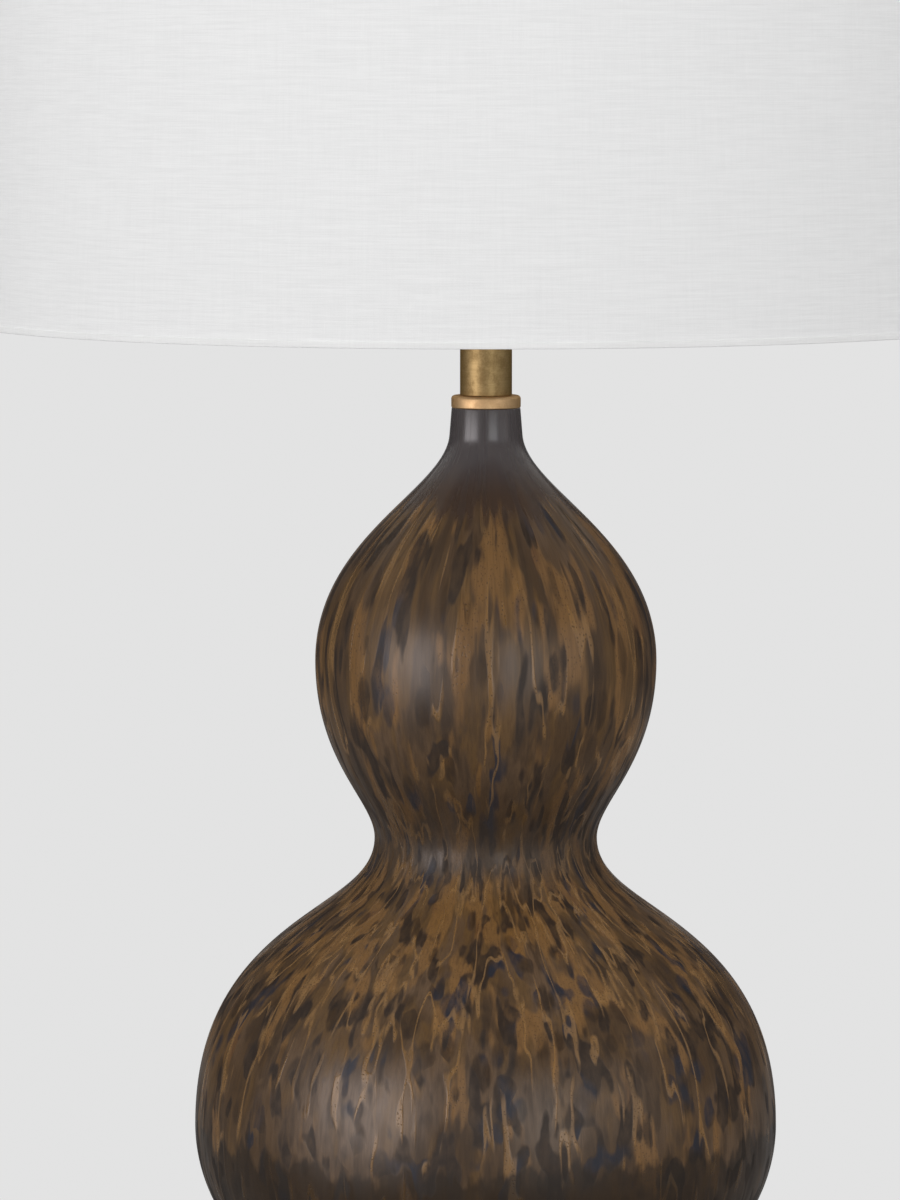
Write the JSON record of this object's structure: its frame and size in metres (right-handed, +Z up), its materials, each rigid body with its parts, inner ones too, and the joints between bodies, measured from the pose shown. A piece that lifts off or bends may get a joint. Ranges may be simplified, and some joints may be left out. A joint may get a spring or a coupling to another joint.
{
  "type": "double gourd table lamp",
  "caption": "Table lamp with a glazed ceramic double gourd body, a brass neck, a harp, a turn-key socket and a white linen drum shade.",
  "frame": {"origin": "on the table, under the centre of the foot", "axes": "+Z up along the lamp's centre line, -Y towards the front and the switch key, X along the harp"},
  "size_m": [0.5089, 0.5088, 0.8207],
  "materials": {
    "felt": "matte felt",
    "glaze": "satin glaze",
    "bushing": "moulded",
    "rubber": "matte",
    "steel": "zinc plated",
    "antique_brass": "antique, brushed",
    "socket_brass": "bright, lacquered",
    "harp_brass": "satin",
    "fibre": "plain",
    "phenolic": "moulded",
    "contact_metal": "bright",
    "knob": "gloss",
    "bulb_base": "bright",
    "bulb_insulator": "gloss",
    "frosted_glass": "frosted",
    "linen": "plain weave",
    "styrene": "matte",
    "ring_wire": "white powder coat"
  },
  "bodies": {
    "lamp_base": {"base_felt": "felt", "gourd_body": "glaze", "cord_bushing": "bushing", "rubber_washer": "rubber", "steel_washer": "steel", "bottom_nut": "steel", "lamp_pipe": "steel", "neck_cap": "antique_brass", "neck_tube": "antique_brass", "tube_cap": "antique_brass", "top_nut": "steel", "harp_saddle": "harp_brass", "socket_cap": "socket_brass", "socket_set_screw": "steel", "socket_shell": "socket_brass", "socket_paper_liner": "fibre", "socket_interior": "phenolic", "terminal_screws": "contact_metal", "screw_shell": "contact_metal", "centre_contact": "contact_metal"},
    "switch_key": {"switch_stem": "socket_brass", "switch_knob": "knob"},
    "bulb": {"bulb_contact": "contact_metal", "bulb_insulator": "bulb_insulator", "bulb_cap": "bulb_base", "bulb_glass": "frosted_glass"},
    "harp": {"harp_wire": "harp_brass"},
    "sleeve_left": {"harp_sleeve_left": "harp_brass"},
    "sleeve_right": {"harp_sleeve_right": "harp_brass"},
    "stud": {"harp_stud": "harp_brass"},
    "shade": {"shade_linen": "linen", "shade_liner": "styrene", "shade_spider": "ring_wire", "shade_bottom_ring": "ring_wire", "shade_top_ring": "ring_wire", "shade_bottom_hem": "linen", "shade_top_hem": "linen"},
    "finial": {"finial": "antique_brass"}
  },
  "joints": [
    {"name": "key_turn", "type": "hinge", "parent": "lamp_base", "child": "switch_key", "pos_m": [0, -0.02, 0.5559], "axis": [0, -1, 0], "continuous": true},
    {"name": "bulb_out", "type": "slide", "parent": "lamp_base", "child": "bulb", "axis": [0, 0, 1], "range_m": [0, 0.03]},
    {"name": "harp_lift", "type": "slide", "parent": "lamp_base", "child": "harp", "axis": [0, 0, 1], "range_m": [0, 0.02]},
    {"name": "sleeve_left_slide", "type": "slide", "parent": "harp", "child": "sleeve_left", "axis": [0, 0, 1], "range_m": [0, 0.0125]},
    {"name": "sleeve_right_slide", "type": "slide", "parent": "harp", "child": "sleeve_right", "axis": [0, 0, 1], "range_m": [0, 0.0125]},
    {"name": "stud_turn", "type": "hinge", "parent": "harp", "child": "stud", "pos_m": [0, 0, 0.787], "axis": [0, 0, 1], "continuous": true},
    {"name": "shade_lift", "type": "slide", "parent": "stud", "child": "shade", "axis": [0, 0, 1], "range_m": [0, 0.305]},
    {"name": "finial_off", "type": "slide", "parent": "shade", "child": "finial", "axis": [0, 0, 1], "range_m": [0, 0.014]}
  ]
}
